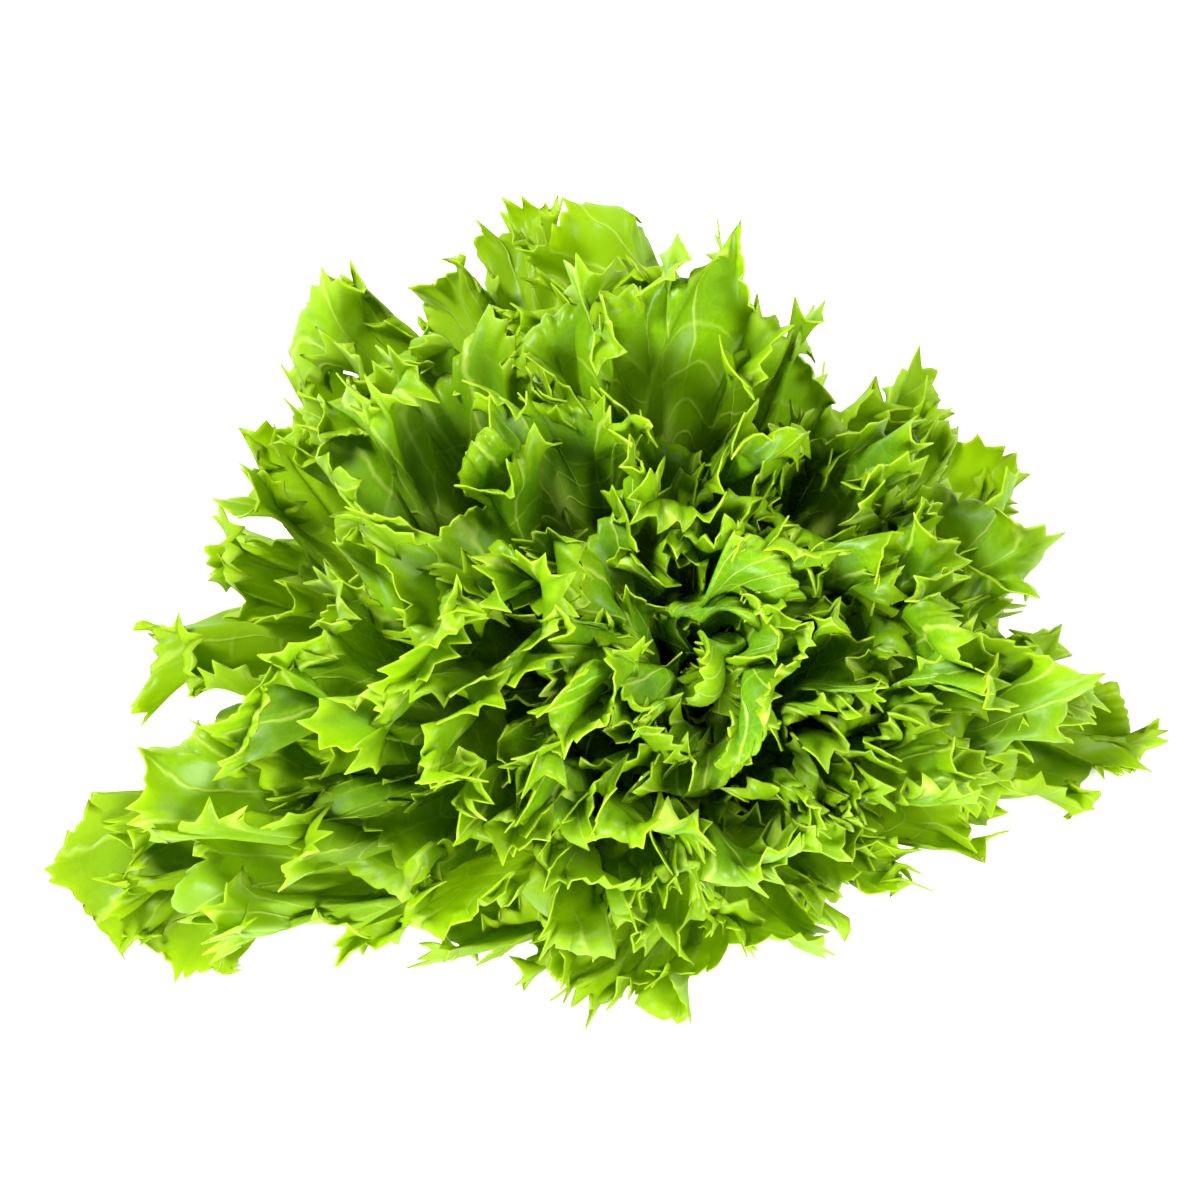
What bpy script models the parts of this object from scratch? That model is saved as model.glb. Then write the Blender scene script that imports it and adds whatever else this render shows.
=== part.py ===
"""Green leaf lettuce: one whole head, cut at the stem and standing on its cut end with the crown up.

Every leaf is its own thin solid round a short stem. The leaves are nested like the layers of an
onion that opens: leaf 0 is the innermost, and each later leaf leans out further, so that the last
ones lie on the table. A leaf is drawn on the surface of its own layer and then thickened.
Metres and degrees, +Z up, the origin under the middle of the head on the table.
"""

import math

import bpy
import numpy as np

# The whole head
STEM_FOOT = (0.0256, -0.0288)  # where the stem stands, seen from the middle of the head's outline
LEAF_REF = 0.135  # a middle leaf, from the stem's foot to its frilled edge
SEED = 11

# The stem: a half ellipse, turned
STEM_RADIUS = 0.0145
STEM_HEIGHT = 0.046
STEM_SIDES = 20
STEM_RINGS = 6
LEAF_GAP = 0.0004  # leaves butt against the stem, this far off

# Thickness of a leaf
BLADE = 0.0008
RIB = 0.0019
FLOOR_STEP = 0.0017  # leaves that reach the table lie on each other, one step higher each time
LEAVES_PER_STEP = 4

# How far a layer leans out: at the stem, and at the frilled edge
LEAN_ROOT = (4.0, 84.0, -2.0, 3.0)  # a + b w + c w^d, w being the layer's place from 0 to 1
LEAN_EDGE = (2.0, 0.0, 90.0, 1.3)
LEAN_TURN = 1.15  # how soon a leaf turns from the first lean to the second

# The front of the head is pushed together, so its leaves stand steeper
SQUEEZE_FROM = 0.020  # in front of the stem
SQUEEZE_KEEP = 0.68  # share of the depth that is kept far in front
SQUEEZE_EASE = 0.030  # over about this depth it sets in

# The inner leaves follow the growth spiral
INNER_LEAVES = 28
HEART_LEAVES = 11  # the first of the inner leaves
SPARE_LAYERS = 1  # left empty between the inner and the outer leaves
GOLDEN_ANGLE = 137.508
FIRST_AZIMUTH = 40.0
INNER_LENGTH = (0.110, 0.140)  # innermost, outermost
INNER_FOLLOW = 0.6  # how much the inner leaves' lengths follow the outer leaves on their side
INNER_SPREAD = (50.0, 38.0)  # half the angle that a leaf covers, innermost and outermost

# Leaves that lean on the outer ones where the head is widest, innermost first: azimuth, how far out the
# edge reaches, half the angle covered
SHOULDER_LEAVES = (
    (345, 0.100, 25),
    (190, 0.124, 22),
    (131, 0.118, 20),
    (218, 0.116, 22),
    (97, 0.104, 24),
    (158, 0.110, 24),
    (203, 0.146, 17),
)

# The outer leaves as they lie
OUTER_LEAVES = (
    (15, 0.099, 26),
    (34, 0.118, 22),
    (52, 0.110, 20),
    (72, 0.100, 20),
    (94, 0.150, 20),
    (112, 0.164, 18),
    (135, 0.150, 15),
    (153, 0.152, 21),
    (171, 0.162, 22),
    (194, 0.197, 14),
    (208, 0.162, 15),
    (231, 0.105, 24),
    (254, 0.098, 28),
    (278, 0.081, 29),
    (301, 0.078, 29),
    (323, 0.092, 25),
    (354, 0.138, 15),
    (1, 0.112, 20),
)
LAST_LEAF = 9  # this one is the lowest of all
LEAF_STRIDE = 7  # from one outer layer to the next, so that neighbours are layers apart

# The edge: lobes with pointed tips, bent out and in by turns
FRINGE_START = 0.81  # place along a leaf where its lobes begin
LOBE_PITCH = 0.0115  # along the edge
LOBES_LIMIT = (6, 16)
LOBE_OUT = 0.0055
LOBE_IN = 0.0020
FAN_ROOT = 0.55  # share of the spread at the stem
FAN_OPEN = 0.75  # place along a leaf where its spread is full
SIDE_SHORTENING = 0.38  # the edge is this much nearer the stem at a leaf's two sides
CURL_LENGTH = 0.028
CURL_MEAN = (20.0, -12.0)  # innermost, outermost leaf; outwards is positive
CURL_SWING = (14.0, 60.0)  # innermost, outermost
SIDE_CALM = 0.75  # how much of the curl is lost at a leaf's two sides
UNEVENNESS = 0.30

# A leaf's net: each row's place along the leaf, and how many of the edge's columns make one of its own
ROWS = ((0.0, 4), (0.22, 4), (0.45, 4), (0.66, 2), (FRINGE_START, 1), (0.90, 1), (1.0, 1))


def lean_at(rho, layer):
    """Angle from the head's axis, in radians, of a layer at a distance rho from the stem's foot."""
    root, edge = (a + b * layer + c * layer**d for a, b, c, d in (LEAN_ROOT, LEAN_EDGE))
    turn = 1.0 - np.exp(-((LEAN_TURN * rho / LEAF_REF) ** 3))
    return np.radians(root + (edge - root) * turn)


def waves_of_head(azimuth, rho, layer):
    """The slow swells that all layers share, in radians."""
    swell = 2.2 * np.sin(3 * azimuth + 0.7) + 1.4 * np.sin(5 * azimuth + 2.1)
    return np.radians(swell) * (rho / LEAF_REF) ** 2 * (1.0 - layer**2)


def squeezed(y):
    """Pushes the front half of the head towards the stem, y < 0 being the front."""
    depth = np.maximum(-y - SQUEEZE_FROM, 0.0)
    eased = SQUEEZE_KEEP * depth + (1 - SQUEEZE_KEEP) * SQUEEZE_EASE * (1 - np.exp(-depth / SQUEEZE_EASE))
    return y + depth - eased


def before_squeeze(y):
    """The place that squeezed() brings to y."""
    guess = y
    for _ in range(12):
        guess = guess + (y - float(squeezed(np.float64(guess))))
    return guess


def stem_radius_at(height):
    inside = max(0.0, 1.0 - (height / STEM_HEIGHT) ** 2)
    return STEM_RADIUS * math.sqrt(inside)


def root_distance(layer):
    """How far from the stem's foot a layer leaves the stem."""
    low, high = STEM_RADIUS, STEM_HEIGHT + 0.006
    for _ in range(40):
        rho = (low + high) / 2
        lean = float(lean_at(rho, layer))
        clear = rho * math.sin(lean) - stem_radius_at(rho * math.cos(lean))
        if clear < LEAF_GAP + RIB / 2:
            low = rho
        else:
            high = rho
    return high


def outer_leaves_in_order():
    """The shoulder leaves, then the outer leaves down to the lowest."""
    count = len(OUTER_LEAVES)
    places = [(LAST_LEAF + LEAF_STRIDE * step) % count for step in range(count)][::-1]
    return SHOULDER_LEAVES + tuple(OUTER_LEAVES[place] for place in places)


def reach_towards(azimuth):
    """How far the outer leaves reach on that side."""
    angles = np.array([leaf[0] for leaf in OUTER_LEAVES]) % 360
    order = np.argsort(angles)
    reaches = np.array([leaf[1] for leaf in OUTER_LEAVES])
    return float(np.interp(azimuth % 360, angles[order], reaches[order], period=360))


def leaf_plan():
    """Every leaf from the heart outwards, as a dictionary of its own sizes."""
    rng = np.random.RandomState(SEED)
    outer = outer_leaves_in_order()
    layers = INNER_LEAVES + SPARE_LAYERS + len(outer)
    mean_reach = sum(leaf[1] for leaf in OUTER_LEAVES) / len(OUTER_LEAVES)
    leaves = []
    for number in range(INNER_LEAVES):
        share = number / (INNER_LEAVES - 1)
        azimuth = (FIRST_AZIMUTH + GOLDEN_ANGLE * number) % 360
        favour = 1.0 + INNER_FOLLOW * share * (reach_towards(azimuth) / mean_reach - 1.0)
        length = INNER_LENGTH[0] + (INNER_LENGTH[1] - INNER_LENGTH[0]) * share
        leaves.append({
            "name": f"{'heart' if number < HEART_LEAVES else 'middle'}_leaf_{number + 1:02d}",
            "azimuth": math.radians(azimuth),
            "length": length * favour,
            "spread": math.radians(INNER_SPREAD[0] + (INNER_SPREAD[1] - INNER_SPREAD[0]) * share),
            "layer": number / (layers - 1),
            "floor": None,
        })
    for place, (azimuth, reach, spread) in enumerate(outer):
        x = reach * math.cos(math.radians(azimuth))
        y = before_squeeze(reach * math.sin(math.radians(azimuth)))
        layer = (INNER_LEAVES + SPARE_LAYERS + place) / (layers - 1)
        flat_reach = math.hypot(x, y)
        length = flat_reach
        for _ in range(6):
            length = flat_reach / math.sin(float(lean_at(length, layer)))
        below = (len(outer) - 1 - place) // LEAVES_PER_STEP
        shoulder = place < len(SHOULDER_LEAVES)
        leaves.append({
            "name": f"{'shoulder' if shoulder else 'outer'}_leaf_{INNER_LEAVES + place + 1:02d}",
            "azimuth": math.atan2(y, x),
            "length": length,
            "spread": math.radians(spread),
            "layer": layer,
            "floor": BLADE / 2 + FLOOR_STEP * below,
        })
    for leaf in leaves:
        leaf["root"] = root_distance(leaf["layer"])
        edge_radius = leaf["length"] * math.sin(float(lean_at(leaf["length"], leaf["layer"])))
        lobes = 2 * edge_radius * leaf["spread"] / LOBE_PITCH
        lobes = min(max(lobes, LOBES_LIMIT[0]), LOBES_LIMIT[1])
        leaf["lobes"] = 4 * max(1, round(lobes / 4))
        leaf["swing"] = rng.uniform(1 - UNEVENNESS, 1 + UNEVENNESS, LOBES_LIMIT[1])
        leaf["tip"] = rng.uniform(1 - UNEVENNESS, 1 + UNEVENNESS, LOBES_LIMIT[1])
        leaf["first"] = 1 if rng.rand() < 0.5 else -1
    return leaves


def leaf_surface(leaf, across, along):
    """Middle surface of a leaf. across runs from -1 to 1 and along from 0 at the stem to 1 at the edge."""
    place = (across + 1) / 2 * leaf["lobes"]
    lobe = np.minimum(place.astype(int), leaf["lobes"] - 1)
    within = place - lobe
    bump = 1.0 - np.abs(2 * within - 1)
    sign = leaf["first"] * (1 - 2 * (lobe % 2))
    swing = CURL_SWING[0] + (CURL_SWING[1] - CURL_SWING[0]) * leaf["layer"]
    swing = swing * leaf["swing"][lobe] * sign * np.sin(math.pi * within)
    mean = CURL_MEAN[0] + (CURL_MEAN[1] - CURL_MEAN[0]) * leaf["layer"]

    edge = leaf["length"] * (1 - SIDE_SHORTENING * np.abs(across) ** 2.4)
    lobe_part = np.clip((along - FRINGE_START) / (1 - FRINGE_START), 0, 1)
    edge = edge + lobe_part * (leaf["tip"][lobe] * LOBE_OUT * bump - LOBE_IN * (1 - bump))
    rho = leaf["root"] + (edge - leaf["root"]) * along
    opened = np.clip(along / FAN_OPEN, 0, 1)
    width = FAN_ROOT + (1 - FAN_ROOT) * opened**2 * (3 - 2 * opened)
    azimuth = leaf["azimuth"] + leaf["spread"] * width * across

    lean = lean_at(rho, leaf["layer"]) + waves_of_head(azimuth, rho, leaf["layer"])
    step = 1e-5
    ahead = lean_at(rho + step, leaf["layer"]) + waves_of_head(azimuth, rho + step, leaf["layer"])
    slope = rho * (ahead - lean) / step
    steep = np.sqrt(1 + slope**2)

    curl_length = CURL_LENGTH * leaf["length"] / LEAF_REF
    run = np.clip(curl_length - (1 - along) * (edge - leaf["root"]), 0, None)
    bend = np.radians(mean + swing) * (1 - SIDE_CALM * across**2) / curl_length
    bend = np.where(np.abs(bend) < 1e-3, 1e-3, bend)
    rise = (1 - np.cos(bend * run)) / bend
    advance = np.sin(bend * run) / bend - run

    outwards = rho + (advance - slope * rise) / steep
    turned = (slope * advance + rise) / steep
    radius = outwards * np.sin(lean) + turned * np.cos(lean)
    height = outwards * np.cos(lean) - turned * np.sin(lean)
    x = radius * np.cos(azimuth)
    y = squeezed(radius * np.sin(azimuth))
    if leaf["floor"] is not None:
        height = np.maximum(height, leaf["floor"])
    return np.stack([x + STEM_FOOT[0], y + STEM_FOOT[1], height], axis=-1)


def leaf_net(leaf):
    """Points and triangles of a leaf's middle surface. A row has the last one's columns, or twice as many."""
    edge_columns = 2 * leaf["lobes"]
    points, starts, counts = [], [], []
    for along, share in ROWS:
        columns = edge_columns // share
        across = np.linspace(-1, 1, columns + 1)
        starts.append(len(points))
        counts.append(columns)
        points.extend(leaf_surface(leaf, across, np.full(columns + 1, along)).tolist())
    faces = []
    for row in range(len(ROWS) - 1):
        low, high = starts[row], starts[row + 1]
        for column in range(counts[row]):
            a, b = low + column, low + column + 1
            if counts[row + 1] == 2 * counts[row]:
                c, d, e = (high + 2 * column + extra for extra in range(3))
                faces += [(a, b, d), (a, d, c), (b, e, d)]
            else:
                c, d = high + column, high + column + 1
                faces += [(a, b, d), (a, d, c)] if column % 2 else [(a, b, c), (b, d, c)]
    return points, faces


def leaf_material(name, colour, roughness):
    material = bpy.data.materials.new(name)
    material.use_nodes = True
    shader = material.node_tree.nodes["Principled BSDF"]
    shader.inputs["Base Color"].default_value = (*colour, 1.0)
    shader.inputs["Roughness"].default_value = roughness
    return material


def add_mesh(name, points, faces, material):
    mesh = bpy.data.meshes.new(name)
    mesh.from_pydata(points, [], faces)
    mesh.materials.append(material)
    mesh.update()
    made = bpy.data.objects.new(name, mesh)
    bpy.context.scene.collection.objects.link(made)
    return made


def add_leaf(leaf, material):
    """A leaf's net, thickened: full at the rib's root, thin in the blade."""
    points, faces = leaf_net(leaf)
    made = add_mesh(leaf["name"], points, faces, material)
    root_columns = 2 * leaf["lobes"] // ROWS[0][1] + 1
    group = made.vertex_groups.new(name="thickness")
    group.add(list(range(len(points))), BLADE / RIB, "REPLACE")
    group.add([root_columns // 2], 1.0, "REPLACE")
    group.add([root_columns + root_columns // 2], 0.75, "REPLACE")
    skin = made.modifiers.new("thickness", "SOLIDIFY")
    skin.thickness = RIB  # where the group's weight is 1
    skin.offset = 0.0
    skin.vertex_group = group.name
    return made


def add_stem(material):
    """The short stem, with its cut face flat on the table."""
    points = [(STEM_FOOT[0], STEM_FOOT[1], 0.0)]
    for ring in range(STEM_RINGS):
        height = STEM_HEIGHT * math.sin(math.pi / 2 * ring / STEM_RINGS)
        for side in range(STEM_SIDES):
            angle = 2 * math.pi * side / STEM_SIDES
            radius = stem_radius_at(height)
            points.append((
                STEM_FOOT[0] + radius * math.cos(angle),
                STEM_FOOT[1] + radius * math.sin(angle),
                height,
            ))
    top = len(points)
    points.append((STEM_FOOT[0], STEM_FOOT[1], STEM_HEIGHT))
    faces = []
    for side in range(STEM_SIDES):
        after = (side + 1) % STEM_SIDES
        faces.append((0, 1 + after, 1 + side))
        for ring in range(STEM_RINGS - 1):
            low = 1 + ring * STEM_SIDES
            high = low + STEM_SIDES
            faces.append((low + side, low + after, high + after, high + side))
        last = 1 + (STEM_RINGS - 1) * STEM_SIDES
        faces.append((last + side, last + after, top))
    made = add_mesh("stem", points, faces, material)
    made.data.shade_smooth()
    made.data.set_sharp_from_angle(angle=math.radians(40))
    return made


def main():
    for old in list(bpy.data.objects):
        bpy.data.objects.remove(old)
    green = leaf_material("outer_green", (0.16, 0.42, 0.03), 0.38)
    mid_green = leaf_material("middle_green", (0.22, 0.52, 0.04), 0.38)
    heart_green = leaf_material("heart_green", (0.34, 0.62, 0.08), 0.40)
    pale = leaf_material("stem_pale", (0.72, 0.76, 0.50), 0.50)
    add_stem(pale)
    for leaf in leaf_plan():
        kind = leaf["name"].split("_")[0]
        add_leaf(leaf, {"heart": heart_green, "middle": mid_green}.get(kind, green))


main()
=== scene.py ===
# %% [markdown]
# # A head of green leaf lettuce
# This lesson dresses a head of frilled lettuce. The frame already holds one plain thin solid for each
# leaf, and a short stem. Here each leaf gets its real edge: lobes with pointed tips that curl into cups
# and tubes, veins, a pale rib and a thin painted highlight along the rim. A real leaf frills because its
# edge grows longer than the leaf behind it, so the edge has to fold. The same idea makes the shape here:
# the last stretch of the leaf is bent out and in by turns, and the bend grows towards the edge.

# %% Load the frame
import math

import bpy
import numpy as np
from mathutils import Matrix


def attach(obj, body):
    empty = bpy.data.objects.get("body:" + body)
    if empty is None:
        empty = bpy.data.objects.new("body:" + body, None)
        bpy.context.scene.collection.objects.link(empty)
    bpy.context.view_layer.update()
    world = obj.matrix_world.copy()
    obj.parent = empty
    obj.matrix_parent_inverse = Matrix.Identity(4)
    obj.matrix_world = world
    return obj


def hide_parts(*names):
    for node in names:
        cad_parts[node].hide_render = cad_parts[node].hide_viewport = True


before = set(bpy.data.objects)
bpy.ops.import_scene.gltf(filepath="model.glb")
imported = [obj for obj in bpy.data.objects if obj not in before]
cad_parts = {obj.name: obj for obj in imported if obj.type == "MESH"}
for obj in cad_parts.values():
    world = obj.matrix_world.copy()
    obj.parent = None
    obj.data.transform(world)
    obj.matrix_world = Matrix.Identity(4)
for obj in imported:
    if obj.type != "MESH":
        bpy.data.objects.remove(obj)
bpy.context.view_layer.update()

# %% [markdown]
# ## The camera
# The photograph looks down into the crown from in front, a little short of straight above. A long lens
# keeps the head's proportions. The camera comes first, so that every later step can be judged in it.

# %% Camera
CAMERA_ELEVATION = math.radians(78)
CAMERA_DISTANCE = 0.788
CAMERA_AIM = (-0.0014, -0.0072, 0.055)
CAMERA_LENS = 85

camera = bpy.data.objects.new("camera", bpy.data.cameras.new("camera"))
bpy.context.scene.collection.objects.link(camera)
camera.data.lens = CAMERA_LENS
camera.location = (
    CAMERA_AIM[0],
    CAMERA_AIM[1] - CAMERA_DISTANCE * math.cos(CAMERA_ELEVATION),
    CAMERA_AIM[2] + CAMERA_DISTANCE * math.sin(CAMERA_ELEVATION),
)
camera.rotation_euler = (math.pi / 2 - CAMERA_ELEVATION, 0, 0)
bpy.context.scene.camera = camera
print("camera at", tuple(round(c, 3) for c in camera.location))

# %% [markdown]
# ## The head's plan
# Lettuce leaves leave the stem one by one, each a golden angle round from the last, and lean further out
# the older they are. The plan repeats the frame's own: layers that open like a flower, so that no leaf
# crosses another, inner leaves on the growth spiral, and outer leaves where the photograph shows them.

# %% Sizes of the head
STEM_FOOT = (0.0256, -0.0288)
STEM_RADIUS = 0.0145
STEM_HEIGHT = 0.046
ROOT_ROOM = 0.006  # a leaf may start this far above the stem's top
LEAF_GAP = 0.0004
LEAF_REF = 0.135  # the length of leaf that the other sizes are given for

BLADE = 0.0008
RIB = 0.0019
FLOOR_STEP = 0.0017  # leaves lie this much higher for every few that lie under them
LEAVES_PER_STEP = 4

# a leaf's lean in degrees, for its layer from 0 in the heart to 1: a + b * layer + c * layer**d
LEAN_ROOT = (4.0, 84.0, -2.0, 3.0)
LEAN_EDGE = (2.0, 0.0, 90.0, 1.3)
LEAN_TURN = 1.15  # how soon a leaf turns from the one lean to the other
HEAD_SWELLS = ((2.2, 3, 0.7), (1.4, 5, 2.1))  # degrees, how many round the head, where they start
SQUEEZE_FROM = 0.020
SQUEEZE_KEEP = 0.68
SQUEEZE_EASE = 0.030

INNER_LEAVES = 28
HEART_LEAVES = 11
SPARE_LAYERS = 1  # left free between the inner leaves and the shoulder leaves
GOLDEN_ANGLE = 137.508
FIRST_AZIMUTH = 40.0
INNER_LENGTH = (0.110, 0.140)  # from the first to the last inner leaf
INNER_FOLLOW = 0.6  # how far the inner leaves follow the outline of the outer ones
INNER_SPREAD = (50.0, 38.0)

# azimuth in degrees, how far out the edge reaches, half the angle covered in degrees
SHOULDER_LEAVES = (
    (345, 0.100, 25),
    (190, 0.124, 22),
    (131, 0.118, 20),
    (218, 0.116, 22),
    (97, 0.104, 24),
    (158, 0.110, 24),
    (203, 0.146, 17),
)
OUTER_LEAVES = (
    (15, 0.099, 26),
    (34, 0.118, 22),
    (52, 0.110, 20),
    (72, 0.100, 20),
    (94, 0.150, 20),
    (112, 0.164, 18),
    (135, 0.150, 15),
    (153, 0.152, 21),
    (171, 0.162, 22),
    (194, 0.197, 14),
    (208, 0.162, 15),
    (231, 0.105, 24),
    (254, 0.098, 28),
    (278, 0.081, 29),
    (301, 0.078, 29),
    (323, 0.092, 25),
    (354, 0.138, 15),
    (1, 0.112, 20),
)
LAST_LEAF = 9  # the leaf at this place in the list lies lowest
LEAF_STRIDE = 7  # and each one above it stands this many places on

FAN_ROOT = 0.55  # a leaf's angle at the stem, as a share of the angle at its edge
FAN_OPEN = 0.75  # where along the leaf it has its full angle

# how often a guess is bettered
SQUEEZE_GUESSES = 12
LENGTH_GUESSES = 6
ROOT_HALVINGS = 40
print("a head of", INNER_LEAVES, "inner and", len(SHOULDER_LEAVES) + len(OUTER_LEAVES), "outer leaves")


# %% Where a layer lies
def lean_at(rho, layer):
    """A layer's angle from upright at the distance rho from the stem's foot."""
    root, edge = (a + b * layer + c * layer**d for a, b, c, d in (LEAN_ROOT, LEAN_EDGE))
    turn = 1.0 - np.exp(-((LEAN_TURN * rho / LEAF_REF) ** 3))
    return np.radians(root + (edge - root) * turn)


def waves_of_head(azimuth, rho, layer):
    """The swells that all leaves share, so that neighbours stay nested."""
    swell = sum(size * np.sin(count * azimuth + start) for size, count, start in HEAD_SWELLS)
    return np.radians(swell) * (rho / LEAF_REF) ** 2 * (1.0 - layer**2)


def squeezed(y):
    """The front of the head is pushed together: y comes closer where it is well in front of the stem."""
    depth = np.maximum(-y - SQUEEZE_FROM, 0.0)
    eased = SQUEEZE_KEEP * depth
    eased = eased + (1 - SQUEEZE_KEEP) * SQUEEZE_EASE * (1 - np.exp(-depth / SQUEEZE_EASE))
    return y + depth - eased


def before_squeeze(y):
    """The y that squeezed turns into this one."""
    guess = y
    for _ in range(SQUEEZE_GUESSES):
        guess = guess + (y - float(squeezed(np.float64(guess))))
    return guess


def stem_radius_at(height):
    """The stem is a rounded knob, widest at its cut."""
    inside = max(0.0, 1.0 - (height / STEM_HEIGHT) ** 2)
    return STEM_RADIUS * math.sqrt(inside)


def root_distance(layer):
    """How far from the stem's foot a layer starts, so that it just clears the stem."""
    low, high = STEM_RADIUS, STEM_HEIGHT + ROOT_ROOM
    for _ in range(ROOT_HALVINGS):
        rho = (low + high) / 2
        lean = float(lean_at(rho, layer))
        clear = rho * math.sin(lean) - stem_radius_at(rho * math.cos(lean))
        if clear < LEAF_GAP + RIB / 2:
            low = rho
        else:
            high = rho
    return high


print("the outermost leaf starts", round(root_distance(1.0) * 1000, 1), "mm from the stem's foot")


# %% The list of leaves
def outer_leaves_in_order():
    """The shoulder leaves, then the outer ones from the highest to the lowest."""
    count = len(OUTER_LEAVES)
    places = [(LAST_LEAF + LEAF_STRIDE * step) % count for step in range(count)][::-1]
    return SHOULDER_LEAVES + tuple(OUTER_LEAVES[place] for place in places)


def reach_towards(azimuth):
    """How far out the outer leaves reach on this side."""
    angles = np.array([leaf[0] for leaf in OUTER_LEAVES]) % 360
    order = np.argsort(angles)
    reaches = np.array([leaf[1] for leaf in OUTER_LEAVES])
    return float(np.interp(azimuth % 360, angles[order], reaches[order], period=360))


def inner_leaf(number, layers):
    """A leaf on the growth spiral, longer where the outer leaves are long."""
    share = number / (INNER_LEAVES - 1)
    azimuth = (FIRST_AZIMUTH + GOLDEN_ANGLE * number) % 360
    mean_reach = sum(leaf[1] for leaf in OUTER_LEAVES) / len(OUTER_LEAVES)
    favour = 1.0 + INNER_FOLLOW * share * (reach_towards(azimuth) / mean_reach - 1.0)
    return {
        "name": f"{'heart' if number < HEART_LEAVES else 'middle'}_leaf_{number + 1:02d}",
        "azimuth": math.radians(azimuth),
        "length": (INNER_LENGTH[0] + (INNER_LENGTH[1] - INNER_LENGTH[0]) * share) * favour,
        "spread": math.radians(INNER_SPREAD[0] + (INNER_SPREAD[1] - INNER_SPREAD[0]) * share),
        "layer": number / (layers - 1),
        "floor": None,
    }


def outer_leaf(place, leaf, layers):
    """A leaf that is placed by where its edge ends, seen from above."""
    azimuth, reach, spread = leaf
    x = reach * math.cos(math.radians(azimuth))
    y = before_squeeze(reach * math.sin(math.radians(azimuth)))
    step = INNER_LEAVES + SPARE_LAYERS + place
    layer = step / (layers - 1)
    flat_reach = math.hypot(x, y)
    length = flat_reach
    for _ in range(LENGTH_GUESSES):
        length = flat_reach / math.sin(float(lean_at(length, layer)))
    above_last = layers - 1 - step
    kind = "shoulder" if place < len(SHOULDER_LEAVES) else "outer"
    return {
        "name": f"{kind}_leaf_{INNER_LEAVES + place + 1:02d}",
        "azimuth": math.atan2(y, x),
        "length": length,
        "spread": math.radians(spread),
        "layer": layer,
        "floor": BLADE / 2 + FLOOR_STEP * (above_last // LEAVES_PER_STEP),
    }


def leaf_plan():
    """Every leaf from the heart outwards, as a dictionary of its own sizes."""
    outer = outer_leaves_in_order()
    layers = INNER_LEAVES + SPARE_LAYERS + len(outer)
    plan = [inner_leaf(number, layers) for number in range(INNER_LEAVES)]
    plan += [outer_leaf(place, leaf, layers) for place, leaf in enumerate(outer)]
    for leaf in plan:
        leaf["root"] = root_distance(leaf["layer"])
    return plan


leaves = leaf_plan()
print(len(leaves), "leaves, from", leaves[0]["name"], "to", leaves[-1]["name"])

# %% [markdown]
# ## One leaf's blade
# A lettuce leaf is cut into lobes, with a deeper cleft after every few. Then its edge is bent at three
# scales: the whole edge turns until it faces the sky, lobes lie above and below each other by turns, and
# small folds close into cups whose rims turn over. Nothing keeps an even pace, because each leaf gets
# random curves of its own.

# %% Sizes of a leaf and its lobes
WIDER = (1.45, 1.15)  # inner and outer leaves are this much wider than in the frame, as their sides fold
# how much shorter a leaf is at its sides, and how square its end is
SIDES = {"heart": (0.70, 1.6), "middle": (0.70, 1.6), "shoulder": (0.60, 1.8), "outer": (0.50, 2.1)}
LONGER = 1.09  # inner leaves are this much longer than in the frame, as bending takes height away
LENGTH_UNREST = 0.05  # this far either way, so that their edges spread evenly over the crown

LOBE_PITCH = 0.019  # from one bay to the next
LOBE_DRIFT = 0.9  # how far the lobes stray from an even pace, as an angle of their wave
LOBE_DEPTH = 0.009
BAY_SHARPNESS = 1.4  # above 1, a bay is narrower than a lobe
BAY_UNREST = 0.4
LOBE_CREST = 0.85  # how much wider a lobe is than the bays beside it; above 1 lobes overlap
LOBE_SWING = 50.0  # degrees, as all turns here
LOBE_LENGTH = 0.022  # how much of the leaf lies out or in with its lobe
LOBE_MOST = 0.9  # as a share of the frill
CLEFT_PITCH = 0.037  # the deeper cuts, between groups of lobes
CLEFT_DEPTH = {"heart": 0.0, "middle": 0.012, "shoulder": 0.018, "outer": 0.015}
LEAST_HALF_WIDTH = 0.030  # narrower leaves are cut less deep

# %% Sizes of folds and waves
FRILL_LENGTH = 0.033  # how much of the leaf turns to face up
FRILL_UNREST = 0.2
FRILL_MOST = 0.8  # as a share of the leaf
FACE_UP = 55.0  # lean of the edge that a leaf tries to reach
FACE_SHARE = 0.70  # and how much of the way it goes
FACE_UNREST = 12.0
HEART_CLOSED = (-6.0, 9.0)  # the innermost leaf turns inwards, and each next one less so

FOLD_PITCH = (0.0078, 0.0122)  # from one fold to the next, in the narrow heart and in wide leaves
WIDE_RADIUS = 0.060  # leaves whose edge is this far out have the widest folds
PITCH_UNREST = (0.85, 1.15)
FOLD_DRIFT = 1.3  # how far the folds stray from an even pace, as an angle of their wave
FOLD_LENGTH = 0.95  # how much of the leaf is folded, in fold pitches
FOLD_SWING = 54.0
SWING_UNREST = 0.4
FOLD_CREST = 1.8  # how much a fold's crest widens; above 1, the edge doubles back between crests
FLARE_LENGTH = 0.36  # the rim of each fold, which turns over
FLARE_SWING = 78.0
FLARE_MEAN = 16.0
FRILL_CALM = 0.10  # folds are this much weaker at a leaf's sides

TWIST = 0.55  # how far the frills lean sideways
LEAN_ASIDE = 0.35  # the same for each fold by itself
UNREST = 0.0030  # how far a fold strays along the edge
SLOW_WAVE = 0.0075  # height of the long waves that run back into the blade
SLOW_HEART = 0.35  # the heart's long waves are this much as high
SLOW_CALM = 0.6  # and those at a leaf's sides this much lower
CRINKLE = 0.0030  # height of the short ones
CRINKLE_SLANT = 0.3  # how far they run aside on their way along the leaf
FLOOR_SOFTNESS = 0.0012  # a leaf that meets the floor settles on it this softly

CURVE_WAVES = 7  # a random curve is the sum of so many waves
CURVE_PACE = (0.5, 1.6)
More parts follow.
